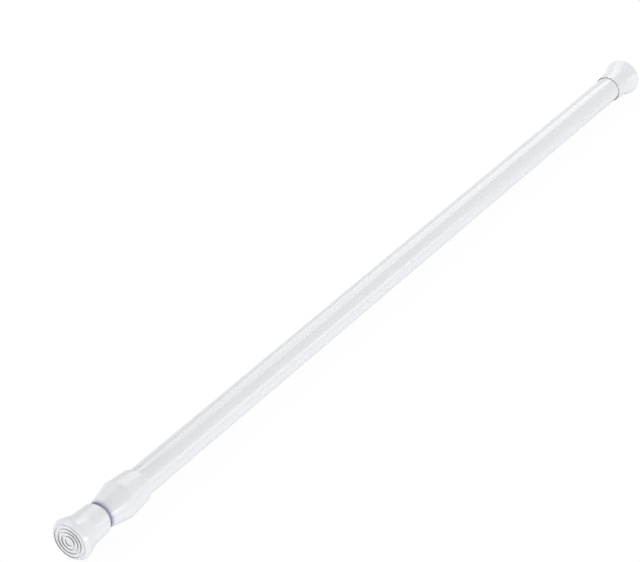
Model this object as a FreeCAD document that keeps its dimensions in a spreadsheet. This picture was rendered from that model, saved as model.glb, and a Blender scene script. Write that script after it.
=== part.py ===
import FreeCAD, Part
import Sketcher
import math
import os

# Sprung telescopic rod, closed. The fixed foot's wall face is at the origin and the rod runs along +X.
# All lengths are in millimetres.

SIZES = [
    ("rodLength", 399, "closed rod from wall face to wall face"),
    ("tubeDia", 11.1, "outer tube, outside"),
    ("tubeWall", 0.5, "outer tube wall"),
    ("tubeGap", 0.45, "outer tube bore to inner tube, on radius"),
    ("innerWall", 0.4, "inner tube wall"),
    ("footLength", 16, "foot, wall face to sleeve edge"),
    ("footFloor", 4, "foot, wall face to the tube's seat"),
    ("sleeveWall", 0.5, "foot sleeve round the outer tube"),
    ("flareRise", 0.42, "foot radius gained along the sleeve"),
    ("rimRise", 2.2, "foot radius gained at the rim"),
    ("rimSet", 1.55, "rim to the flat wall face, on radius"),
    ("rimDepth", 2, "wall face to the widest point of the rim"),
    ("flareDepth", 7.8, "wall face to the start of the sleeve"),
    ("faceRound", 1, "round at the wall face's edge"),
    ("rimRound", 0.8, "round at the rim"),
    ("flareRound", 7.5, "hollow blend from flare to sleeve"),
    ("sleeveRound", 0.5, "round at the sleeve's edge"),
    ("grooveFirst", 1.1, "radius of the smallest ring groove"),
    ("grooveEdge", 0.84, "largest ring groove to the wall face's edge"),
    ("grooveCount", 4, "ring grooves"),
    ("grooveWidth", 0.6, "ring groove width"),
    ("grooveDepth", 0.5, "ring groove depth"),
    ("collarGap", 1, "sliding foot to collar, closed"),
    ("collarLength", 20.35, "collar, lip to rear edge"),
    ("mouthLength", 9, "collar lip to the outer tube's end"),
    ("mouthClear", 0.08, "inner tube to the collar's mouth, on radius"),
    ("lipWall", 0.27, "collar wall at its lip"),
    ("noseWall", 0.87, "collar wall behind its nose"),
    ("noseLength", 1.2, "collar nose"),
    ("coneLength", 9.1, "collar cone"),
    ("bandLength", 0.7, "widest band of the collar"),
    ("collarWall", 1.93, "collar wall at its widest"),
    ("collarRearWall", 0.97, "collar wall at its rear edge"),
    ("collarRound", 2.4, "rounds beside the widest band"),
    ("noseRound", 0.4, "round between nose and cone"),
    ("collarRearRound", 0.68, "round at the collar's rear edge"),
    ("headRoom", 14, "outer tube's closed end to the cam screw"),
    ("ringClear", 0.1, "guide ring to the outer tube bore, on radius"),
    ("ringWidth", 5.8, "guide ring width"),
    ("ringSlit", 1, "slit in the guide ring"),
    ("turnClear", 0.08, "turning clearance, on radius"),
    ("endPlay", 0.1, "clearance at each end of a turning ring"),
    ("neckStep", 0.7, "inner tube to the plug's neck, on radius"),
    ("snapRise", 0.4, "plug's snap lip above its neck"),
    ("snapThick", 1.2, "plug's snap lip along the rod"),
    ("flangeThick", 1.2, "plug's flange"),
    ("spigotLength", 10, "plug inside the inner tube"),
    ("plungerDia", 3.5, "plunger rod"),
    ("plungerFlats", 2.7, "plunger rod across its flats"),
    ("plungerTail", 3, "plunger rod past its clip"),
    ("keyClear", 0.08, "plunger rod in the plug, on radius"),
    ("clipGap", 0.5, "rod clip to the inner tube, on radius"),
    ("clipThick", 0.8, "rod clip"),
    ("springLength", 35, "spring between its seats"),
    ("springGap", 0.75, "spring and hub flange to the outer tube bore, on radius"),
    ("wireDia", 0.9, "spring wire"),
    ("springTurns", 11, "working turns of the spring"),
    ("closedPitch", 1.05, "pitch of the closed end turns"),
    ("groundDepth", 0.22, "wire ground away at each end of the spring"),
    ("hubFlange", 1.5, "cam hub's spring flange"),
    ("bossDia", 5.4, "cam hub's boss round the plunger rod"),
    ("bossLength", 7.5, "cam hub's boss"),
    ("camOffset", 0.6, "eccentric journal off the rod's axis"),
    ("journalDia", 5.2, "eccentric journal"),
    ("journalLength", 8, "eccentric journal"),
    ("camClear", 0.55, "unlocked cam ring to the outer tube bore, on radius"),
    ("camSlit", 1.2, "slit in the cam ring"),
    ("washerDia", 7.2, "cam washer"),
    ("washerThick", 1, "cam washer"),
    ("shankDia", 2.4, "cam screw shank"),
    ("shankLength", 6, "cam screw in the journal"),
    ("shankClear", 0.1, "cam screw in its washer, on radius"),
    ("headDia", 5, "cam screw head"),
    ("headHeight", 2, "cam screw head"),
    ("headRound", 0.8, "round on the cam screw head"),
    ("recessWidth", 0.9, "arms of the cam screw's cross recess"),
    ("recessSpan", 3, "cross recess, tip to tip"),
    ("recessDepth", 1.1, "cross recess"),
]

# An edge's round takes at most this share of the wall it is on.
ROUND_SHARE = 0.8
# The spring's wire is this many-sided, near enough round at its size.
WIRE_SIDES = 8
# Places and sizes closer than this are the same.
SAME = 1e-4

doc = FreeCAD.newDocument("TensionRod")
sheet = doc.addObject("Spreadsheet::Sheet", "Sizes")
for row, (alias, value, note) in enumerate(SIZES, start=1):
    sheet.set(f"A{row}", note)
    sheet.set(f"B{row}", str(value))
    sheet.setAlias(f"B{row}", alias)
doc.recompute()

# Radii worked out from the driving sizes
tube_r = "Sizes.tubeDia / 2"
bore_r = f"({tube_r} - Sizes.tubeWall)"
inner_r = f"({bore_r} - Sizes.tubeGap)"
inner_bore_r = f"({inner_r} - Sizes.innerWall)"
mouth_r = f"({inner_r} + Sizes.mouthClear)"
sleeve_r = f"({tube_r} + Sizes.sleeveWall)"
rim_r = f"({sleeve_r} + Sizes.rimRise)"
face_r = f"({rim_r} - Sizes.rimSet)"
neck_r = f"({inner_r} - Sizes.neckStep)"
spring_r = f"({bore_r} - Sizes.springGap)"
journal_r = "Sizes.journalDia / 2"
plunger_r = "Sizes.plungerDia / 2"
half_flats = "Sizes.plungerFlats / 2"

# Places along the rod, from the fixed foot to the collar
tube_start = "Sizes.footFloor"
head_x = f"({tube_start} + Sizes.headRoom)"
washer_x = f"({head_x} + Sizes.headHeight)"
journal_x = f"({washer_x} + Sizes.washerThick)"
hub_x = f"({journal_x} + Sizes.journalLength)"
hub_seat = f"({hub_x} + Sizes.hubFlange)"
plug_x = f"({hub_seat} + Sizes.springLength)"
ring_x = f"({plug_x} + Sizes.snapThick + Sizes.endPlay)"
flange_x = f"({ring_x} + Sizes.ringWidth + Sizes.endPlay)"
inner_start = f"({flange_x} + Sizes.flangeThick)"
plug_end = f"({inner_start} + Sizes.spigotLength)"
collar_front = "(Sizes.rodLength - Sizes.footLength - Sizes.collarGap)"
tube_end = f"({collar_front} - Sizes.mouthLength)"


def value_of(text):
    return float(sheet.evalExpression(text.replace("Sizes.", "")))


def new_body(label):
    body = doc.addObject("PartDesign::Body", label)
    body.Label = label
    return body


def new_sketch(body, name, role="XY_Plane", along=None):
    # A sketch on the XY plane holds a half section along the rod, one on the YZ plane a cross section.
    sketch = body.newObject("Sketcher::SketchObject", name)
    plane = [f for f in body.Origin.OriginFeatures if f.Role == role][0]
    sketch.AttachmentSupport = [(plane, "")]
    sketch.MapMode = "FlatFace"
    if along:
        sketch.setExpression("AttachmentOffset.Base.z", along)
    return sketch


def pin_point(sketch, geometry, end, across, up):
    # Fixes one point of a sketch by its two sizes from the origin, or on an axis where a size is "0".
    for kind, axis, size in (("DistanceX", -2, across), ("DistanceY", -1, up)):
        if size == "0":
            sketch.addConstraint(Sketcher.Constraint("PointOnObject", geometry, end, axis))
            continue
        index = sketch.addConstraint(Sketcher.Constraint(kind, geometry, end, value_of(size)))
        name = f"{kind}{index}"
        sketch.renameConstraint(index, name)
        sketch.setExpression(f"Constraints.{name}", size)


def fix_radius(sketch, geometry, radius):
    index = sketch.addConstraint(Sketcher.Constraint("Radius", geometry, value_of(radius)))
    sketch.renameConstraint(index, f"radius{index}")
    sketch.setExpression(f"Constraints.radius{index}", radius)


def arc_points(before, corner, after, radius):
    # Where the arc that rounds a corner starts, its middle, and where it ends.
    back = (before - corner).normalize()
    ahead = (after - corner).normalize()
    half = back.getAngle(ahead) / 2
    reach = radius / math.tan(half)
    depth = radius / math.sin(half) - radius
    middle = corner + (back + ahead).normalize() * depth
    return corner + back * reach, middle, corner + ahead * reach


def round_corner(sketch, before, after, arc_line, sizes):
    # Puts an arc between two lines, and keeps their sharp corner as a construction point.
    arc = sketch.addGeometry(Part.Arc(*arc_line), False)
    starts_first = sketch.getPoint(arc, 1).distanceToPoint(arc_line[0]) < SAME
    start, end = (1, 2) if starts_first else (2, 1)
    sketch.addConstraint(Sketcher.Constraint("Tangent", before, 2, arc, start))
    sketch.addConstraint(Sketcher.Constraint("Tangent", arc, end, after, 1))
    across, up, radius = sizes
    fix_radius(sketch, arc, radius)
    place = FreeCAD.Vector(value_of(across), value_of(up), 0)
    corner = sketch.addGeometry(Part.Point(place), True)
    for line in (before, after):
        sketch.addConstraint(Sketcher.Constraint("PointOnObject", corner, 1, line))
    pin_point(sketch, corner, 1, across, up)


def draw_outline(sketch, corners):
    # Joins the corners with straight lines. A corner's third size, if it has one, is the radius of its arc.
    places = [FreeCAD.Vector(value_of(sizes[0]), value_of(sizes[1]), 0) for sizes in corners]
    bends = []
    for index, sizes in enumerate(corners):
        place = places[index]
        bend = (place, place, place)
        if len(sizes) > 2:
            after = places[(index + 1) % len(places)]
            bend = arc_points(places[index - 1], place, after, value_of(sizes[2]))
        bends.append(bend)
    lines = []
    for bend, following in zip(bends, bends[1:] + bends[:1]):
        lines.append(sketch.addGeometry(Part.LineSegment(bend[2], following[0]), False))
    for index, sizes in enumerate(corners):
        before, after = lines[index - 1], lines[index]
        if len(sizes) > 2:
            round_corner(sketch, before, after, bends[index], sizes)
            continue
        sketch.addConstraint(Sketcher.Constraint("Coincident", before, 2, after, 1))
        pin_point(sketch, after, 1, sizes[0], sizes[1])


def draw_circle(sketch, radius, across="0", up="0"):
    centre = FreeCAD.Vector(value_of(across), value_of(up), 0)
    circle = Part.Circle(centre, FreeCAD.Vector(0, 0, 1), value_of(radius))
    index = sketch.addGeometry(circle, False)
    pin_point(sketch, index, 3, across, up)
    fix_radius(sketch, index, radius)


def draw_flatted_round(sketch, radius, half_width):
    # A circle cut by two flats, above and below its centre.
    turn = math.asin(value_of(half_width) / value_of(radius))
    circle = Part.Circle(FreeCAD.Vector(0, 0, 0), FreeCAD.Vector(0, 0, 1), value_of(radius))
    right = sketch.addGeometry(Part.ArcOfCircle(circle, -turn, turn), False)
    left = sketch.addGeometry(Part.ArcOfCircle(circle, math.pi - turn, math.pi + turn), False)
    corner = FreeCAD.Vector(value_of(radius) * math.cos(turn), value_of(half_width), 0)
    mirrored = FreeCAD.Vector(-corner.x, corner.y, 0)
    top = sketch.addGeometry(Part.LineSegment(corner, mirrored), False)
    bottom = sketch.addGeometry(Part.LineSegment(-corner, -mirrored), False)
    for first, end, second, start in (
        (right, 2, top, 1),
        (top, 2, left, 1),
        (left, 2, bottom, 1),
        (bottom, 2, right, 1),
    ):
        sketch.addConstraint(Sketcher.Constraint("Coincident", first, end, second, start))
    for arc in (right, left):
        sketch.addConstraint(Sketcher.Constraint("Coincident", arc, 3, -1, 1))
    sketch.addConstraint(Sketcher.Constraint("Horizontal", top))
    sketch.addConstraint(Sketcher.Constraint("Horizontal", bottom))
    fix_radius(sketch, right, radius)
    across = sketch.addConstraint(
        Sketcher.Constraint("DistanceY", bottom, 1, top, 1, 2 * value_of(half_width))
    )
    sketch.renameConstraint(across, "flats")
    sketch.setExpression("Constraints.flats", f"2 * {half_width}")
    rise = sketch.addConstraint(Sketcher.Constraint("DistanceY", top, 1, value_of(half_width)))
    sketch.renameConstraint(rise, "rise")
    sketch.setExpression("Constraints.rise", half_width)


def revolve(body, name, corners):
    sketch = new_sketch(body, f"{name}Section")
    draw_outline(sketch, corners)
    feature = body.newObject("PartDesign::Revolution", name)
    feature.Profile = sketch
    feature.ReferenceAxis = (sketch, ["H_Axis"])
    feature.Angle = 360
    doc.recompute()
    return feature


def pad(body, name, sketch, length, backwards=False):
    feature = body.newObject("PartDesign::Pad", name)
    feature.Profile = sketch
    feature.setExpression("Length", length)
    feature.Reversed = backwards
    doc.recompute()
    return feature


def confirm_cut(feature, volume_before):
    doc.recompute()
    if feature.Shape.Volume > volume_before - SAME:
        raise RuntimeError(f"{feature.Label} cuts nothing")


def pocket(body, name, sketch, length, forwards=False):
    volume_before = body.Tip.Shape.Volume
    feature = body.newObject("PartDesign::Pocket", name)
    feature.Profile = sketch
    feature.setExpression("Length", length)
    feature.Reversed = forwards
    confirm_cut(feature, volume_before)
    return feature


def groove(body, name, sketch):
    volume_before = body.Tip.Shape.Volume
    feature = body.newObject("PartDesign::Groove", name)
    feature.Profile = sketch
    feature.ReferenceAxis = (sketch, ["H_Axis"])
    feature.Angle = 360
    confirm_cut(feature, volume_before)
    return feature


def slit(body, name, along, width, reach, length):
    # Cuts one wall of a ring from its bore to its outside, on the +Z side.
    sketch = new_sketch(body, f"{name}Section", "YZ_Plane", along)
    left, right = f"-{width} / 2", f"{width} / 2"
    draw_outline(sketch, [(left, "0"), (right, "0"), (right, reach), (left, reach)])
    pocket(body, name, sketch, length, forwards=True)


def make_tube(label, outside_r, inside_r, start, end):
    body = new_body(label)
    sketch = new_sketch(body, f"{label}Section", "YZ_Plane", start)
    draw_circle(sketch, outside_r)
    draw_circle(sketch, inside_r)
    pad(body, f"{label}Wall", sketch, f"{end} - {start}")
    return body


def make_foot(label, socket_r):
    # Flared foot with its wall face at zero and its socket towards +X.
    body = new_body(label)
    flare_r = f"({sleeve_r} + Sizes.flareRise)"
    sleeve_round = f"min(Sizes.sleeveRound; {ROUND_SHARE} * ({sleeve_r} - {socket_r}))"
    corners = [
        ("0", "0"),
        ("0", face_r, "Sizes.faceRound"),
        ("Sizes.rimDepth", rim_r, "Sizes.rimRound"),
        ("Sizes.flareDepth", flare_r, "Sizes.flareRound"),
        ("Sizes.footLength", sleeve_r, sleeve_round),
        ("Sizes.footLength", socket_r),
        ("Sizes.footFloor", socket_r),
        ("Sizes.footFloor", "0"),
    ]
    revolve(body, f"{label}Body", corners)
    rings = new_sketch(body, f"{label}Rings")
    pitch = f"({face_r} - Sizes.grooveEdge - Sizes.grooveFirst) / (Sizes.grooveCount - 1)"
    for ring in range(round(value_of("Sizes.grooveCount"))):
        middle = f"(Sizes.grooveFirst + {ring} * {pitch})"
        low = f"({middle} - Sizes.grooveWidth / 2)"
        high = f"({middle} + Sizes.grooveWidth / 2)"
        corners = [("0", low), ("Sizes.grooveDepth", low), ("Sizes.grooveDepth", high), ("0", high)]
        draw_outline(rings, corners)
    groove(body, f"{label}Grooves", rings)
    return body


def make_collar():
    body = new_body("collar")
    lip_r = f"({mouth_r} + Sizes.lipWall)"
    nose_r = f"({mouth_r} + Sizes.noseWall)"
    wide_r = f"({tube_r} + Sizes.collarWall)"
    rear_r = f"({tube_r} + Sizes.collarRearWall)"
    nose_x = f"({collar_front} - Sizes.noseLength)"
    wide_x = f"({nose_x} - Sizes.coneLength)"
    taper_x = f"({wide_x} - Sizes.bandLength)"
    rear_x = f"({collar_front} - Sizes.collarLength)"
    rear_round = f"min(Sizes.collarRearRound; {ROUND_SHARE} * Sizes.collarRearWall)"
    corners = [
        (collar_front, mouth_r),
        (collar_front, lip_r),
        (nose_x, nose_r, "Sizes.noseRound"),
        (wide_x, wide_r, "Sizes.collarRound"),
        (taper_x, wide_r, "Sizes.collarRound"),
        (rear_x, rear_r, rear_round),
        (rear_x, tube_r),
        (tube_end, tube_r),
        (tube_end, mouth_r),
    ]
    revolve(body, "collarBody", corners)
    return body


def make_plug():
    body = new_body("tube_plug")
    snap_r = f"({neck_r} + Sizes.snapRise)"
    neck_x = f"({plug_x} + Sizes.snapThick)"
    corners = [
        (plug_x, "0"),
        (plug_x, snap_r),
        (neck_x, snap_r),
        (neck_x, neck_r),
        (flange_x, neck_r),
        (flange_x, inner_r),
        (inner_start, inner_r),
        (inner_start, inner_bore_r),
        (plug_end, inner_bore_r),
        (plug_end, "0"),
    ]
    revolve(body, "plugBody", corners)
    key = new_sketch(body, "plugKey", "YZ_Plane", plug_x)
    draw_flatted_round(key, f"({plunger_r} + Sizes.keyClear)", f"({half_flats} + Sizes.keyClear)")
    pocket(body, "plugHole", key, f"{plug_end} - {plug_x}", forwards=True)
    return body


def make_guide_ring():
    body = new_body("guide_ring")
    outside_r = f"({bore_r} - Sizes.ringClear)"
    inside_r = f"({neck_r} + Sizes.turnClear)"
    ring_end = f"({ring_x} + Sizes.ringWidth)"
    corners = [(ring_x, inside_r), (ring_x, outside_r), (ring_end, outside_r), (ring_end, inside_r)]
    revolve(body, "guideRingBody", corners)
    slit(body, "guideRingSlit", ring_x, "Sizes.ringSlit", bore_r, "Sizes.ringWidth")
    return body


def make_plunger_rod():
    body = new_body("plunger_rod")
    section = new_sketch(body, "plungerSection", "YZ_Plane", hub_seat)
    draw_flatted_round(section, plunger_r, half_flats)
    end = f"({plug_end} + Sizes.clipThick + Sizes.plungerTail)"
    pad(body, "plungerShaft", section, f"{end} - {hub_seat}")
    return body


def make_rod_clip():
    body = new_body("rod_clip")
    section = new_sketch(body, "clipSection", "YZ_Plane", plug_end)
    draw_circle(section, f"({inner_bore_r} - Sizes.clipGap)")
    pad(body, "clipDisc", section, "Sizes.clipThick")
    hole = new_sketch(body, "clipHoleSection", "YZ_Plane", plug_end)
    draw_flatted_round(hole, plunger_r, half_flats)
    pocket(body, "clipHole", hole, "Sizes.clipThick", forwards=True)
    return body


def make_spring():
    # Closed end turns and open working turns, each half turn a tilted arc, with both ends ground flat.
    coil_r = f"({spring_r} - Sizes.wireDia / 2)"
    first = f"({hub_seat} + Sizes.wireDia / 2 - Sizes.groundDepth)"
    last = f"({plug_x} - Sizes.wireDia / 2 + Sizes.groundDepth)"
    closed = value_of("Sizes.closedPitch")
    turns = round(value_of("Sizes.springTurns"))
    working = (value_of(last) - value_of(first) - 2 * closed) / turns
    half_turn_ends = [FreeCAD.Vector(value_of(first), value_of(coil_r), 0)]
    for pitch in [closed] + turns * [working] + [closed]:
        for _ in range(2):
            before = half_turn_ends[-1]
            half_turn_ends.append(FreeCAD.Vector(before.x + pitch / 2, -before.y, 0))
    arcs = []
    for a, b in zip(half_turn_ends, half_turn_ends[1:]):
        rise = math.copysign((b - a).Length / 2, a.y)
        top = (a + b) * 0.5 + FreeCAD.Vector(0, 0, rise)
        arcs.append(Part.Arc(a, top, b).toShape())
    path = doc.addObject("Part::Feature", "springPath")
    path.Shape = Part.Wire(arcs)

    wire = doc.addObject("Part::RegularPolygon", "springWire")
    wire.Polygon = WIRE_SIDES
    wire.setExpression("Circumradius", "Sizes.wireDia / 2")
    wire.Placement.Rotation = FreeCAD.Rotation(FreeCAD.Vector(0, 0, 1), 180 / WIRE_SIDES)
    wire.setExpression("Placement.Base.x", first)
    wire.setExpression("Placement.Base.y", coil_r)
    coil = doc.addObject("Part::Sweep", "springCoil")
    coil.Sections = [wire]
    coil.Spine = (path, [f"Edge{index}" for index in range(1, len(arcs) + 1)])
    coil.Solid = True
    doc.recompute()
    ground = coil
    for name, near in (("hubEnd", f"{hub_seat} - Sizes.wireDia"), ("plugEnd", plug_x)):
        beyond = doc.addObject("Part::Box", f"{name}Grind")
        beyond.setExpression("Length", "Sizes.wireDia")
        beyond.setExpression("Width", f"2 * {bore_r}")
        beyond.setExpression("Height", f"2 * {bore_r}")
        beyond.setExpression("Placement.Base.x", near)
        beyond.setExpression("Placement.Base.y", f"-{bore_r}")
        beyond.setExpression("Placement.Base.z", f"-{bore_r}")
        whole = ground
        ground = doc.addObject("Part::Cut", name)
        ground.Base = whole
        ground.Tool = beyond
        confirm_cut(ground, whole.Shape.Volume)
    ground.Label = "spring"
    return ground


def make_cam_hub():
    body = new_body("cam_hub")
    boss_r = "Sizes.bossDia / 2"
    boss_end = f"({hub_seat} + Sizes.bossLength)"
    corners = [
        (hub_x, "0"),
        (hub_x, spring_r),
        (hub_seat, spring_r),
        (hub_seat, boss_r),
        (boss_end, boss_r),
        (boss_end, "0"),
    ]
    revolve(body, "hubBody", corners)
    key = new_sketch(body, "hubKey", "YZ_Plane", hub_seat)
    draw_flatted_round(key, plunger_r, half_flats)
    pocket(body, "hubSocket", key, "Sizes.bossLength", forwards=True)
    journal = new_sketch(body, "journalSection", "YZ_Plane", hub_x)
    draw_circle(journal, journal_r, "0", "Sizes.camOffset")
    pad(body, "journal", journal, "Sizes.journalLength", backwards=True)
    hole = new_sketch(body, "screwHoleSection", "YZ_Plane", journal_x)
    draw_circle(hole, "Sizes.shankDia / 2", "0", "Sizes.camOffset")
    pocket(body, "screwHole", hole, "Sizes.shankLength", forwards=True)
    return body


def make_cam_ring():
    # Round the rod's axis while unlocked, with its bore round the eccentric journal.
    body = new_body("cam_ring")
    start = f"({journal_x} + Sizes.endPlay)"
    length = "(Sizes.journalLength - 2 * Sizes.endPlay)"
    outside_r = f"({bore_r} - Sizes.camClear)"
    section = new_sketch(body, "camRingSection", "YZ_Plane", start)
    draw_circle(section, outside_r)
    draw_circle(section, f"({journal_r} + Sizes.turnClear)", "0", "Sizes.camOffset")
    pad(body, "camRingWall", section, length)
    slit(body, "camRingSlit", start, "Sizes.camSlit", bore_r, length)
    return body


def make_cam_washer():
    hole_r = "(Sizes.shankDia / 2 + Sizes.shankClear)"
    body = make_tube("cam_washer", "Sizes.washerDia / 2", hole_r, washer_x, journal_x)
    body.setExpression("Placement.Base.z", "Sizes.camOffset")
    return body


def make_cam_screw():
    body = new_body("cam_screw")
    shank_r = "Sizes.shankDia / 2"
    head_r = "Sizes.headDia / 2"
    tip_x = f"({journal_x} + Sizes.shankLength)"
    corners = [
        (head_x, "0"),
        (head_x, head_r, "Sizes.headRound"),
        (washer_x, head_r),
        (washer_x, shank_r),
        (tip_x, shank_r),
        (tip_x, "0"),
    ]
    revolve(body, "screwBody", corners)
    for name, width, height in (
        ("recessAcross", "Sizes.recessSpan", "Sizes.recessWidth"),
        ("recessUp", "Sizes.recessWidth", "Sizes.recessSpan"),
    ):
        arm = new_sketch(body, f"{name}Section", "YZ_Plane", head_x)
        left, right = f"-{width} / 2", f"{width} / 2"
        low, high = f"-{height} / 2", f"{height} / 2"
        draw_outline(arm, [(left, low), (right, low), (right, high), (left, high)])
        pocket(body, name, arm, "Sizes.recessDepth", forwards=True)
    body.setExpression("Placement.Base.z", "Sizes.camOffset")
    return body


def make_sliding_foot():
    # The same foot turned round, with a smaller socket for the inner tube.
    body = make_foot("sliding_foot", inner_r)
    body.Placement = FreeCAD.Placement(
        FreeCAD.Vector(value_of("Sizes.rodLength"), 0, 0),
        FreeCAD.Rotation(FreeCAD.Vector(0, 0, 1), 180),
    )
    body.setExpression("Placement.Base.x", "Sizes.rodLength")
    return body


inner_end = "(Sizes.rodLength - Sizes.footFloor)"
parts = [
    make_tube("outer_tube", tube_r, bore_r, tube_start, tube_end),
    make_collar(),
    make_foot("fixed_foot", tube_r),
    make_tube("inner_tube", inner_r, inner_bore_r, inner_start, inner_end),
    make_sliding_foot(),
    make_plug(),
    make_guide_ring(),
    make_spring(),
    make_plunger_rod(),
    make_rod_clip(),
    make_cam_hub(),
    make_cam_ring(),
    make_cam_washer(),
    make_cam_screw(),
]
doc.recompute()

for item in doc.Objects:
    if "Invalid" in item.State or "Error" in item.State:
        raise RuntimeError(f"{item.Label} failed: {item.State}")
for body in parts:
    if body.Shape.isNull() or not body.Shape.isValid():
        raise RuntimeError(f"{body.Label} has no valid shape")
    if len(body.Shape.Solids) != 1:
        raise RuntimeError(f"{body.Label} has {len(body.Shape.Solids)} solids")

os.makedirs("parts", exist_ok=True)
for body in parts:
    body.Shape.exportStep(f"parts/{body.Label}.step")
    print(body.Label, round(body.Shape.Volume, 2), "mm3")
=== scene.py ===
import bmesh
import bpy
import math
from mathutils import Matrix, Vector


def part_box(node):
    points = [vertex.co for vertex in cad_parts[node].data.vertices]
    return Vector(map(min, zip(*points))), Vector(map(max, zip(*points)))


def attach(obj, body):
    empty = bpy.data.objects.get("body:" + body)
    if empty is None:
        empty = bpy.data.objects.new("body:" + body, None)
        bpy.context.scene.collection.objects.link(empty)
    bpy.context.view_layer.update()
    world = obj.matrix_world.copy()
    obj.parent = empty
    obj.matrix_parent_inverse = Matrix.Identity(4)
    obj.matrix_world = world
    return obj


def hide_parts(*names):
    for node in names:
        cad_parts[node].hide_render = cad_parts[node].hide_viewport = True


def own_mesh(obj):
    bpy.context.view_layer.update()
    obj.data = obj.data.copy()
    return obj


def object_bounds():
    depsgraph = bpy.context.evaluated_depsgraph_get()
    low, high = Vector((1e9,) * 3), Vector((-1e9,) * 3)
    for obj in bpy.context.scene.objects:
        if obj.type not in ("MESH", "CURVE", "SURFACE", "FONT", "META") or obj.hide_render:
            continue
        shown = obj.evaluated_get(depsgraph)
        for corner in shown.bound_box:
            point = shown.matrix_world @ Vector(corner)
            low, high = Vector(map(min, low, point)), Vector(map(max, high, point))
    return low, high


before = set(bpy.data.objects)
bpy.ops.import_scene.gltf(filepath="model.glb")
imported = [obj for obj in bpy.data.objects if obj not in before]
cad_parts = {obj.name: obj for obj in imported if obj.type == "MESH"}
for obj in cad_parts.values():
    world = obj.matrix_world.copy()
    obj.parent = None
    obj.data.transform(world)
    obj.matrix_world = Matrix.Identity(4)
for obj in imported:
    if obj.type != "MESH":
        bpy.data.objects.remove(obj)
cadLow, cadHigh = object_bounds()
mm = 0.001
near = 1e-6  # places and ratios closer than this are the same
rodLength = cadHigh.x - cadLow.x
print("frame loaded:", len(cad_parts), "nodes")


# Modelling steps, with rings and corners given as (x, radius)

mergeDistance = 1e-7
smoothAngle = math.radians(32)
roundProfile = 0.5  # bevels that are arcs


def deselectAll():
    if bpy.context.mode != "OBJECT":
        bpy.ops.object.mode_set(mode="OBJECT")
    bpy.ops.object.select_all(action="DESELECT")


def startRing(name, x, radius, sides, fill="NOTHING"):
    # a ring round the rod's axis, left in edit mode with its edges selected
    deselectAll()
    bpy.ops.mesh.primitive_circle_add(vertices=sides, radius=radius, fill_type=fill,
                                      location=(x, 0, 0), rotation=(0, math.radians(90), 0))
    piece = bpy.context.object
    piece.name = name
    bpy.ops.object.transform_apply(location=True, rotation=True, scale=True)
    bpy.ops.object.mode_set(mode="EDIT")
    bpy.ops.mesh.select_mode(type="EDGE")
    bpy.ops.mesh.select_all(action="SELECT")
    if fill != "NOTHING":
        bpy.ops.mesh.region_to_loop()
    return piece


def pullRing(here, there):
    # extrudes the selected ring along the rod and to a new radius
    bpy.ops.mesh.extrude_edges_move(TRANSFORM_OT_translate={"value": (there[0] - here[0], 0, 0)})
    grow = there[1] / here[1]
    if abs(grow - 1) > near:
        bpy.ops.transform.resize(value=(1, grow, grow), center_override=(there[0], 0, 0))


def pullOutline(outline):
    for here, there in zip(outline, outline[1:]):
        pullRing(here, there)


def closeOutline():
    # joins the last ring to the first one
    bpy.ops.mesh.select_all(action="DESELECT")
    bpy.ops.mesh.select_non_manifold()
    bpy.ops.mesh.bridge_edge_loops()


def selectRings(piece, rings):
    bpy.ops.mesh.select_all(action="DESELECT")
    mesh = bmesh.from_edit_mesh(piece.data)
    for edge in mesh.edges:
        for x, radius in rings:
            onRing = [abs(v.co.x - x) < near and abs(math.hypot(v.co.y, v.co.z) - radius) < near
                      for v in edge.verts]
            if all(onRing):
                edge.select_set(True)
    bmesh.update_edit_mesh(piece.data)


def roundCorners(piece, outline, rounds):
    # bevels corners of the outline to arcs, by rounds of {corner's number: (radius, segments)}
    for i, (roundRadius, segments) in rounds.items():
        before, corner, after = outline[i - 1], outline[i], outline[i + 1]
        turnIn = math.atan2(corner[1] - before[1], corner[0] - before[0])
        turnOut = math.atan2(after[1] - corner[1], after[0] - corner[0])
        turn = abs((turnOut - turnIn + math.pi) % (2 * math.pi) - math.pi)
        selectRings(piece, [corner])
        bpy.ops.mesh.bevel(offset_type="OFFSET", offset=roundRadius * math.tan(turn / 2),
                           segments=segments, profile=roundProfile, affect="EDGES",
                           clamp_overlap=False)


def finishMesh():
    # merges doubles, turns the faces outwards and leaves edit mode
    bpy.ops.mesh.select_all(action="SELECT")
    bpy.ops.mesh.remove_doubles(threshold=mergeDistance)
    bpy.ops.mesh.normals_make_consistent(inside=False)
    bpy.ops.object.mode_set(mode="OBJECT")
    bpy.ops.object.shade_smooth_by_angle(angle=smoothAngle)


def applyModifier(piece, kind, **settings):
    bpy.ops.object.modifier_add(type=kind)
    modifier = piece.modifiers[-1]
    for key, value in settings.items():
        setattr(modifier, key, value)
    bpy.ops.object.modifier_apply(modifier=modifier.name)


def place(piece, body, node, material):
    piece.data.materials.clear()
    piece.data.materials.append(material)
    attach(piece, body)
    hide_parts(node)


# Finishes: clouds vary the colour and the gloss, and a finer grain is the bump

cloudDetail = 3
grainDetail = 4
noiseSpread = (0.3, 0.7)  # nearly all of a noise texture's values lie between these


def newMaterial(name):
    material = bpy.data.materials.new(name)
    material.use_nodes = True
    shader = material.node_tree.nodes["Principled BSDF"]
    coords = material.node_tree.nodes.new("ShaderNodeTexCoord")
    return material, shader, coords


def addNoise(material, coords, scale, detail, stretch):
    tree = material.node_tree
    mapping = tree.nodes.new("ShaderNodeMapping")
    mapping.inputs["Scale"].default_value = stretch
    noise = tree.nodes.new("ShaderNodeTexNoise")
    noise.inputs["Scale"].default_value = scale
    noise.inputs["Detail"].default_value = detail
    tree.links.new(coords.outputs["Object"], mapping.inputs["Vector"])
    tree.links.new(mapping.outputs["Vector"], noise.inputs["Vector"])
    return noise


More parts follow.
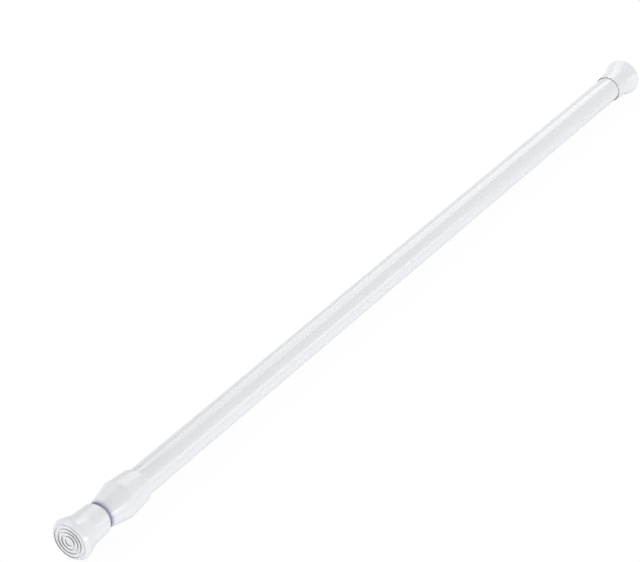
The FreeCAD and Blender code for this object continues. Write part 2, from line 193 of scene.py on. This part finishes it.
def addRange(material, noise, low, high):
    spread = material.node_tree.nodes.new("ShaderNodeMapRange")
    spread.inputs["From Min"].default_value = noiseSpread[0]
    spread.inputs["From Max"].default_value = noiseSpread[1]
    spread.inputs["To Min"].default_value = low
    spread.inputs["To Max"].default_value = high
    material.node_tree.links.new(noise.outputs["Fac"], spread.inputs["Value"])
    return spread.outputs["Result"]


def addTint(material, noise, first, second):
    tint = material.node_tree.nodes.new("ShaderNodeMix")
    tint.data_type = "RGBA"
    tint.inputs["A"].default_value = (*first, 1)
    tint.inputs["B"].default_value = (*second, 1)
    material.node_tree.links.new(noise.outputs["Fac"], tint.inputs["Factor"])
    return tint.outputs["Result"]


def addBump(material, shader, noise, height, strength):
    bump = material.node_tree.nodes.new("ShaderNodeBump")
    bump.inputs["Strength"].default_value = strength
    bump.inputs["Distance"].default_value = height
    material.node_tree.links.new(noise.outputs["Fac"], bump.inputs["Height"])
    material.node_tree.links.new(bump.outputs["Normal"], shader.inputs["Normal"])


def addMath(owner, operation, first, second):
    # owner is a material or a world, and second a socket or a plain number
    node = owner.node_tree.nodes.new("ShaderNodeMath")
    node.operation = operation
    owner.node_tree.links.new(first, node.inputs[0])
    if isinstance(second, (int, float)):
        node.inputs[1].default_value = second
    else:
        owner.node_tree.links.new(second, node.inputs[1])
    return node.outputs["Value"]


def addSteps(material, value, start, end):
    # 0 up to start, 1 past end
    steps = material.node_tree.nodes.new("ShaderNodeMapRange")
    steps.inputs["From Min"].default_value = start
    steps.inputs["From Max"].default_value = end
    material.node_tree.links.new(value, steps.inputs["Value"])
    return steps.outputs["Result"]


def addCoat(material, factor, color, coat):
    # lays a plain colour over another one, as far as the factor says
    mix = material.node_tree.nodes.new("ShaderNodeMix")
    mix.data_type = "RGBA"
    mix.inputs["B"].default_value = (*coat, 1)
    material.node_tree.links.new(factor, mix.inputs["Factor"])
    material.node_tree.links.new(color, mix.inputs["A"])
    return mix.outputs["Result"]


def addPaintedShade(material, coords, clouds, color, paintedShade):
    # paints shade along the rod, by stops of (share of the way, colour), with an uneven edge
    tree = material.node_tree
    spot = tree.nodes.new("ShaderNodeSeparateXYZ")
    tree.links.new(coords.outputs["Object"], spot.inputs["Vector"])
    along = addSteps(material, spot.outputs["X"], paintedShade["from"], paintedShade["to"])
    uneven = addRange(material, clouds, -paintedShade["uneven"], paintedShade["uneven"])
    ramp = tree.nodes.new("ShaderNodeValToRGB")
    marks = ramp.color_ramp.elements
    while len(marks) < len(paintedShade["stops"]):
        marks.new(1)
    for mark, (share, shade) in zip(marks, paintedShade["stops"]):
        mark.position = share
        mark.color = (*shade, 1)
    shadeLayer = tree.nodes.new("ShaderNodeMix")
    shadeLayer.data_type = "RGBA"
    shadeLayer.blend_type = "MULTIPLY"
    shadeLayer.inputs["Factor"].default_value = 1
    tree.links.new(addMath(material, "ADD", along, uneven), ramp.inputs["Fac"])
    tree.links.new(color, shadeLayer.inputs["A"])
    tree.links.new(ramp.outputs["Color"], shadeLayer.inputs["B"])
    return shadeLayer.outputs["Result"]


def addPad(material, coords, color, pad):
    # lighter colour on the wall face at both ends of the rod, with painted grey shade on the steep
    # walls of its rings
    tree = material.node_tree
    spot = tree.nodes.new("ShaderNodeSeparateXYZ")
    facing = tree.nodes.new("ShaderNodeSeparateXYZ")
    tree.links.new(coords.outputs["Object"], spot.inputs["Vector"])
    tree.links.new(coords.outputs["Normal"], facing.inputs["Vector"])
    offMiddle = addMath(material, "SUBTRACT", spot.outputs["X"], pad["middle"])
    fromMiddle = addMath(material, "ABSOLUTE", offMiddle, 0)
    across = addMath(material, "ADD", addMath(material, "POWER", spot.outputs["Y"], 2),
                     addMath(material, "POWER", spot.outputs["Z"], 2))
    facingWall = addMath(material, "ABSOLUTE", facing.outputs["X"], 0)
    atFace = addSteps(material, fromMiddle, pad["reach"] - pad["edge"], pad["reach"])
    inside = addSteps(material, across, (pad["radius"] + pad["fade"]) ** 2, pad["radius"] ** 2)
    onPad = addMath(material, "MULTIPLY", atFace, inside)
    # painted shade on the steep walls of the rings
    onSteep = addMath(material, "MULTIPLY", onPad,
                      addSteps(material, facingWall, pad["flat"], pad["steep"]))
    white = addCoat(material, onPad, color, pad["white"])
    return addCoat(material, onSteep, white, pad["wallShade"])


def makeFinish(name, finish):
    material, shader, coords = newMaterial(name)
    links = material.node_tree.links
    stretch = finish.get("stretch", (1, 1, 1))
    clouds = addNoise(material, coords, finish["cloudScale"], cloudDetail, stretch)
    grain = addNoise(material, coords, finish["grainScale"], grainDetail, stretch)
    color = addTint(material, clouds, finish["dark"], finish["light"])
    # painted shade along the rod, where a finish asks for it
    if "paintedShade" in finish:
        color = addPaintedShade(material, coords, clouds, color, finish["paintedShade"])
    if "pad" in finish:
        color = addPad(material, coords, color, finish["pad"])
    links.new(color, shader.inputs["Base Color"])
    links.new(addRange(material, clouds, *finish["roughness"]), shader.inputs["Roughness"])
    addBump(material, shader, grain, finish["grainHeight"], finish["grainStrength"])
    for socket, value in finish["sockets"].items():
        shader.inputs[socket].default_value = value
    return material


# gloss paint on the tubes: faint clouding and a fine orange peel drawn out along the rod
tubePaint = makeFinish("tubePaint", {
    "dark": (0.835, 0.845, 0.875), "light": (0.855, 0.865, 0.895), "roughness": (0.12, 0.16),
    "cloudScale": 160, "grainScale": 900, "grainHeight": 0.02 * mm, "grainStrength": 0.05,
    "stretch": (0.35, 1, 1), "sockets": {"IOR": 1.45}})
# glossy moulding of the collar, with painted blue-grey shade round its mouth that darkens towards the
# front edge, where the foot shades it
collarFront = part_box("collar")[1].x
collarMoulding = makeFinish("collarMoulding", {
    "dark": (0.835, 0.845, 0.875), "light": (0.855, 0.865, 0.895), "roughness": (0.18, 0.24),
    "cloudScale": 260, "grainScale": 1500, "grainHeight": 0.02 * mm, "grainStrength": 0.05,
    "sockets": {"IOR": 1.45},
    "paintedShade": {"from": collarFront - 2 * mm, "to": collarFront, "uneven": 0.02,
               "stops": ((0.1, (1, 1, 1)), (0.38, (0.86, 0.89, 0.95)), (0.62, (0.72, 0.75, 0.84)),
                         (0.82, (0.6, 0.63, 0.73)), (0.95, (0.52, 0.54, 0.65)))}})
# glossy moulding of the feet, each lighter on its wall face and with painted shade on its rings' steep
# walls;
# flat and steep are the share of a surface that faces the wall where the painted shade starts and
# where it is full
footMoulding = makeFinish("footMoulding", {
    "dark": (0.83, 0.845, 0.88), "light": (0.85, 0.865, 0.90), "roughness": (0.16, 0.21),
    "cloudScale": 260, "grainScale": 1800, "grainHeight": 0.02 * mm, "grainStrength": 0.06,
    "sockets": {"IOR": 1.45},
    "pad": {"middle": rodLength / 2, "reach": rodLength / 2 - 0.6 * mm, "edge": 0.1 * mm,
            "radius": 6.5 * mm, "fade": 0.25 * mm, "flat": 0.8, "steep": 0.35,
            "white": (0.94, 0.945, 0.96), "wallShade": (0.39, 0.4, 0.43)}})
# dark colour of the ring in the collar's mouth, a piece of painted shade standing for the shadow in
# the gap
mouthShade = makeFinish("mouthShade", {
    "dark": (0.34, 0.345, 0.435), "light": (0.39, 0.395, 0.485), "roughness": (0.6, 0.7),
    "cloudScale": 500, "grainScale": 2600, "grainHeight": 0.02 * mm, "grainStrength": 0.2,
    "sockets": {"IOR": 1.45, "Specular IOR Level": 0.15}})
# plain mouldings inside the tubes
innerMoulding = makeFinish("innerMoulding", {
    "dark": (0.62, 0.60, 0.53), "light": (0.68, 0.66, 0.60), "roughness": (0.5, 0.6),
    "cloudScale": 300, "grainScale": 2200, "grainHeight": 0.02 * mm, "grainStrength": 0.15,
    "sockets": {"IOR": 1.5}})
# drawn spring wire
springWire = makeFinish("springWire", {
    "dark": (0.36, 0.37, 0.39), "light": (0.46, 0.47, 0.49), "roughness": (0.28, 0.38),
    "cloudScale": 700, "grainScale": 4000, "grainHeight": 0.01 * mm, "grainStrength": 0.2,
    "sockets": {"Metallic": 1.0}})
# bright plated steel
platedSteel = makeFinish("platedSteel", {
    "dark": (0.55, 0.56, 0.57), "light": (0.65, 0.66, 0.67), "roughness": (0.2, 0.3),
    "cloudScale": 500, "grainScale": 2500, "grainHeight": 0.01 * mm, "grainStrength": 0.15,
    "sockets": {"Metallic": 1.0}})
print("finishes made")


# Tubes, with walls and bevels in millimetres

outerTube = {"sides": 144, "lengths": 12, "wall": 0.5, "rimBevel": 0.12}
innerTube = {"sides": 128, "lengths": 12, "wall": 0.4, "rimBevel": 0.1}
tubeRim = {"segments": 3, "sharpAngle": math.radians(60), "smoothAngle": math.radians(40)}


def makeTube(name, node, body, tube):
    low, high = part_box(node)
    radius = (high.y - low.y) / 2
    piece = startRing(name, low.x, radius, tube["sides"])
    step = (high.x - low.x) / tube["lengths"]
    pullOutline([(low.x + i * step, radius) for i in range(tube["lengths"] + 1)])
    finishMesh()
    applyModifier(piece, "SOLIDIFY", thickness=tube["wall"] * mm, offset=-1, use_even_offset=True)
    applyModifier(piece, "BEVEL", width=tube["rimBevel"] * mm, segments=tubeRim["segments"],
                  limit_method="ANGLE", angle_limit=tubeRim["sharpAngle"])
    bpy.ops.object.shade_smooth_by_angle(angle=tubeRim["smoothAngle"])
    place(piece, body, node, tubePaint)
    print(name, "made")


makeTube("rodOuterTube", "outer_tube", "outer", outerTube)
makeTube("rodInnerTube", "inner_tube", "inner", innerTube)


# Collar on the outer tube's open end, drawn from its lip back to its rear edge, in millimetres

collar = {"sides": 144, "setBack": 0.4, "noseLength": 0.12, "coneLength": 9.78, "bandLength": 0.7,
          "mouthLength": 9, "lipRadius": 5.3, "noseRadius": 5.4, "rearRadius": 6.52,
          "mouthRadius": 4.68, "noseRound": 0.1, "bandRound": 2.4, "rearRound": 0.68,
          "noseSegments": 5, "coneSegments": 8, "taperSegments": 6, "rearSegments": 8}


def makeCollar():
    low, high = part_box("collar")
    tubeLow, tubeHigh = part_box("outer_tube")
    front = high.x - collar["setBack"] * mm  # the dark ring of painted shade takes the place before it
    rear = low.x
    wideRadius = (high.y - low.y) / 2
    seatRadius = (tubeHigh.y - tubeLow.y) / 2
    noseX = front - collar["noseLength"] * mm
    wideX = noseX - collar["coneLength"] * mm
    taperX = wideX - collar["bandLength"] * mm
    seatX = high.x - collar["mouthLength"] * mm
    outline = [
        (front, collar["mouthRadius"] * mm),
        (front, collar["lipRadius"] * mm),
        (noseX, collar["noseRadius"] * mm),
        (wideX, wideRadius),
        (taperX, wideRadius),
        (rear, collar["rearRadius"] * mm),
        (rear, seatRadius),
        (seatX, seatRadius),
        (seatX, collar["mouthRadius"] * mm),
    ]
    rounds = {
        2: (collar["noseRound"] * mm, collar["noseSegments"]),
        3: (collar["bandRound"] * mm, collar["coneSegments"]),
        4: (collar["bandRound"] * mm, collar["taperSegments"]),
        5: (collar["rearRound"] * mm, collar["rearSegments"]),
    }
    piece = startRing("rodCollar", *outline[0], collar["sides"])
    pullOutline(outline)
    closeOutline()
    roundCorners(piece, outline, rounds)
    finishMesh()
    place(piece, "outer", "collar", collarMoulding)
    print("rodCollar made")


makeCollar()


# Flared feet, drawn from the middle of the wall face out to the rim and back along the sleeve, in
# millimetres. Depths are from the wall, and a ridge is a raised ring on the wall face:
# (inner radius, outer radius, depth of its top).

foot = {"sides": 144, "length": 16, "floor": 4, "faceRadius": 7.3, "rimDepth": 2, "rimRadius": 8.25,
        "flareDepth": 7.8, "flareRadius": 6.47, "sleeveRadius": 6.05, "slotWidth": 0.26,
        "slotDepth": 1.5, "recessDepth": 0.5, "shoulderDepth": 0.55,
        "gateDepth": 0.34, "gateRadius": 0.4, "gateFoot": 0.58,
        "ridges": ((1.58, 2.18, 0), (3.2, 3.72, 0), (4.76, 5.12, 0), (6.3, 6.64, 0.06)),
        "ridgeEase": 0.06, "faceRound": 0.4, "rimRound": 0.8, "flareRound": 7.5,
        "sleeveRound": 1.1, "sleeveShare": 0.95,  # the most of the sleeve's wall that its round takes
        "ridgeSegments": 3, "faceSegments": 6, "rimSegments": 8, "flareSegments": 10,
        "sleeveSegments": 6}


def makeFoot(name, node, body, socketNode):
    low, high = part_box(node)
    tubeLow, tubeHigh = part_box(socketNode)
    socketRadius = (tubeHigh.y - tubeLow.y) / 2
    faceX, inward = (low.x, 1) if body == "outer" else (high.x, -1)

    def at(depth, radius):
        return faceX + inward * depth * mm, radius * mm

    outline = [  # gate mark in the middle of the face
        at(foot["gateDepth"], foot["gateRadius"]),
        at(foot["recessDepth"], foot["gateFoot"]),
    ]
    ridgeTops = []
    for inside, outside, top in foot["ridges"]:
        ridge = [at(foot["recessDepth"], inside), at(top, inside),
                 at(top, outside), at(foot["recessDepth"], outside)]
        outline += ridge
        ridgeTops += ridge[1:3]
    lastRidge = foot["ridges"][-1]
    outline[-1] = at(foot["shoulderDepth"], lastRidge[1])
    faceEdge = len(outline)
    slotRadius = socketRadius / mm + foot["slotWidth"]
    outline += [
        at(foot["shoulderDepth"], foot["faceRadius"]),
        at(foot["rimDepth"], foot["rimRadius"]),
        at(foot["flareDepth"], foot["flareRadius"]),
        at(foot["length"], foot["sleeveRadius"]),
        at(foot["length"], slotRadius),
        at(foot["length"] - foot["slotDepth"], slotRadius),
        at(foot["length"] - foot["slotDepth"], socketRadius / mm),
        at(foot["floor"], socketRadius / mm),
    ]
    sleeveWall = foot["sleeveRadius"] - slotRadius
    sleeveRound = min(foot["sleeveRound"], foot["sleeveShare"] * sleeveWall)
    rounds = {
        faceEdge: (foot["faceRound"] * mm, foot["faceSegments"]),
        faceEdge + 1: (foot["rimRound"] * mm, foot["rimSegments"]),
        faceEdge + 2: (foot["flareRound"] * mm, foot["flareSegments"]),
        faceEdge + 3: (sleeveRound * mm, foot["sleeveSegments"]),
    }
    piece = startRing(name, *outline[0], foot["sides"], "NGON")
    pullOutline(outline)
    bpy.ops.mesh.edge_face_add()  # floor of the socket
    roundCorners(piece, outline, rounds)
    selectRings(piece, ridgeTops)
    bpy.ops.mesh.bevel(offset=foot["ridgeEase"] * mm, segments=foot["ridgeSegments"],
                       profile=roundProfile, affect="EDGES")
    finishMesh()
    applyModifier(piece, "WEIGHTED_NORMAL", keep_sharp=True)
    place(piece, body, node, footMoulding)
    print(name, "made")


makeFoot("rodFixedFoot", "fixed_foot", "outer", "outer_tube")
makeFoot("rodSlidingFoot", "sliding_foot", "inner", "inner_tube")


# Dark ring in the collar's mouth, which the inner tube slides through, in millimetres: painted shade
# standing for the shadow in the gap between the collar and the foot

mouthRing = {"sides": 128, "width": 0.4, "radius": 5.3, "round": 0.12, "segments": 4}


def makeMouthRing():
    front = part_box("collar")[1].x
    rear = front - mouthRing["width"] * mm
    bore = collar["mouthRadius"] * mm
    radius = mouthRing["radius"] * mm
    outline = [(front, bore), (front, radius), (rear, radius), (rear, bore)]
    piece = startRing("rodMouthShadeRing", *outline[0], mouthRing["sides"])
    pullOutline(outline)
    closeOutline()
    roundCorners(piece, outline, {1: (mouthRing["round"] * mm, mouthRing["segments"])})
    finishMesh()
    piece.data.materials.append(mouthShade)
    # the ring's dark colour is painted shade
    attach(piece, "outer")
    print("rodMouthShadeRing made")


makeMouthRing()


# Spring: a wire section screwed round the rod in three runs, with both ends ground flat, in
# millimetres. It keeps 17 of its 35 mm when it is squeezed.

spring = {"wire": 0.9, "wireSides": 14, "coilRadius": 3.85, "turns": 11, "closedPitch": 1.05,
          "ground": 0.22, "steps": 40, "keep": 17 / 35}


def makeSpring():
    low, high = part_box("spring")
    wire = spring["wire"] * mm
    start = low.x + wire / 2 - spring["ground"] * mm
    end = high.x - wire / 2 + spring["ground"] * mm
    closed = spring["closedPitch"] * mm
    working = (end - start - 2 * closed) / spring["turns"]
    runs = [(start, closed, 1), (start + closed, working, spring["turns"]), (end - closed, closed, 1)]
    coils = []
    for x, pitch, turns in runs:
        deselectAll()
        bpy.ops.mesh.primitive_circle_add(vertices=spring["wireSides"], radius=wire / 2,
                                          location=(x, spring["coilRadius"] * mm, 0))
        coil = bpy.context.object
        bpy.ops.object.transform_apply(location=True, rotation=True, scale=True)
        applyModifier(coil, "SCREW", axis="X", screw_offset=pitch, iterations=turns,
                      steps=spring["steps"], render_steps=spring["steps"], use_merge_vertices=False)
        coils.append(coil)
    deselectAll()
    for coil in coils:
        coil.select_set(True)
    bpy.context.view_layer.objects.active = coils[0]
    bpy.ops.object.join()
    piece = bpy.context.object
    piece.name = "rodSpring"
    bpy.ops.object.mode_set(mode="EDIT")
    bpy.ops.mesh.select_mode(type="EDGE")
    bpy.ops.mesh.select_all(action="SELECT")
    bpy.ops.mesh.remove_doubles(threshold=near)
    bpy.ops.mesh.fill_holes(sides=0)
    for x, outward in ((low.x, -1), (high.x, 1)):
        bpy.ops.mesh.select_all(action="SELECT")
        bpy.ops.mesh.bisect(plane_co=(x, 0, 0), plane_no=(outward, 0, 0), use_fill=True,
                            clear_outer=True)
    finishMesh()
    place(piece, "inner", "spring", springWire)
    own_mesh(piece)
    print("rodSpring made")


makeSpring()


# Pieces that stay as their CAD shapes

carriedOver = {"tube_plug": innerMoulding, "guide_ring": innerMoulding, "cam_hub": innerMoulding,
               "cam_ring": innerMoulding, "plunger_rod": platedSteel, "rod_clip": platedSteel,
               "cam_washer": platedSteel, "cam_screw": platedSteel}
for node, material in carriedOver.items():
    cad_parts[node].data.materials.clear()
    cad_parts[node].data.materials.append(material)
print("inner pieces finished:", len(carriedOver))


# Stage and light, in metres

stage = {"floorSize": 30, "floorMiddle": 0.2, "floorColor": (0.9, 0.9, 0.9), "white": 1.03,
         "floorGlow": 0.92,  # the rest of the floor still takes the rod's shadow
         "floorGloss": 0.4,  # share of the glow that reflections see
         "worldColor": (1, 1, 1), "worldStrength": 0.28}


def addBackdropMask(owner, glossyShare):
    # 1 for the rays that show the backdrop, 0 for those that light the object
    path = owner.node_tree.nodes.new("ShaderNodeLightPath")
    glossy = addMath(owner, "MULTIPLY", path.outputs["Is Glossy Ray"], glossyShare)
    direct = addMath(owner, "MAXIMUM", path.outputs["Is Camera Ray"], glossy)
    return addMath(owner, "MAXIMUM", direct, path.outputs["Is Transmission Ray"])


def makeFloor():
    deselectAll()
    bpy.ops.mesh.primitive_plane_add(size=stage["floorSize"],
                                     location=(stage["floorMiddle"], 0, cadLow.z))
    floor = bpy.context.object
    floor.name = "floor"
    material = bpy.data.materials.new("floorPaper")
    material.use_nodes = True
    tree = material.node_tree
    tree.nodes.remove(tree.nodes["Principled BSDF"])
    paper = tree.nodes.new("ShaderNodeBsdfDiffuse")
    paper.inputs["Color"].default_value = (*stage["floorColor"], 1)
    glow = tree.nodes.new("ShaderNodeEmission")
    glow.inputs["Strength"].default_value = stage["white"]
    mask = addBackdropMask(material, stage["floorGloss"])
    seen = tree.nodes.new("ShaderNodeMixShader")
    tree.links.new(addMath(material, "MULTIPLY", mask, stage["floorGlow"]), seen.inputs["Fac"])
    tree.links.new(paper.outputs["BSDF"], seen.inputs[1])
    tree.links.new(glow.outputs["Emission"], seen.inputs[2])
    tree.links.new(seen.outputs["Shader"], tree.nodes["Material Output"].inputs["Surface"])
    floor.data.materials.append(material)


makeFloor()


def makeWorld():
    world = bpy.data.worlds.new("studio")
    bpy.context.scene.world = world
    world.use_nodes = True
    tree = world.node_tree
    fill = tree.nodes["Background"]
    fill.inputs["Color"].default_value = (*stage["worldColor"], 1)
    fill.inputs["Strength"].default_value = stage["worldStrength"]
    backdrop = tree.nodes.new("ShaderNodeBackground")
    backdrop.inputs["Color"].default_value = (*stage["worldColor"], 1)
    seen = tree.nodes.new("ShaderNodeMixShader")
    tree.links.new(addBackdropMask(world, 1), seen.inputs["Fac"])
    tree.links.new(fill.outputs["Background"], seen.inputs[1])
    tree.links.new(backdrop.outputs["Background"], seen.inputs[2])
    tree.links.new(seen.outputs["Shader"], tree.nodes["World Output"].inputs["Surface"])


makeWorld()

lamps = {
    "backSoftbox": {"at": (-0.63, -0.42, 0.75), "aim": (0.2, 0, 0), "size": (0.9, 0.78), "power": 5.0},
    "topSoftbox": {"at": (0.3, -0.69, 0.9), "aim": (0.25, 0, 0), "size": (1.4, 0.8), "power": 5.3},
    "sideStrip": {"at": (-0.3, 0.8, 0.15), "aim": (-0.3, 0, 0.15), "size": (0.85, 0.3), "power": 1.55},
    "sideFill": {"at": (0.53, 0.94, 0.14), "aim": (0.2, 0, 0.14), "size": (0.85, 0.26), "power": 5.0},
    "endFill": {"at": (1.42, -0.42, 0.1), "aim": (0.4, 0, 0.05), "size": (0.6, 0.18), "power": 4.7},
}


def makeLamp(name, lamp):
    data = bpy.data.lights.new(name, "AREA")
    data.shape = "RECTANGLE"
    data.size, data.size_y = lamp["size"]
    data.energy = lamp["power"]
    light = bpy.data.objects.new(name, data)
    bpy.context.scene.collection.objects.link(light)
    light.location = lamp["at"]
    away = light.location.copy()
    away.x -= lamp["aim"][0]
    away.y -= lamp["aim"][1]
    away.z -= lamp["aim"][2]
    light.rotation_euler = away.to_track_quat("Z", "Y").to_euler()
    light.visible_camera = False


for name, lamp in lamps.items():
    makeLamp(name, lamp)
print("stage and lamps set")


# Camera at the photograph's place: lens in millimetres, place in metres, turns in degrees

photo = {"lens": 130.67, "sensor": 36, "nearClip": 0.01, "at": (0.8528, 0.4092, 0.5044),
         "tilt": 56.612, "turn": 124.065}
cameraData = bpy.data.cameras.new("photoCamera")
cameraData.sensor_fit = "HORIZONTAL"
cameraData.sensor_width = photo["sensor"]
cameraData.lens = photo["lens"]
cameraData.clip_start = photo["nearClip"]
camera = bpy.data.objects.new("photoCamera", cameraData)
bpy.context.scene.collection.objects.link(camera)
camera.location = photo["at"]
camera.rotation_euler = (math.radians(photo["tilt"]), 0, math.radians(photo["turn"]))
bpy.context.scene.camera = camera
bpy.context.scene.view_settings.view_transform = "Standard"
print("camera set")
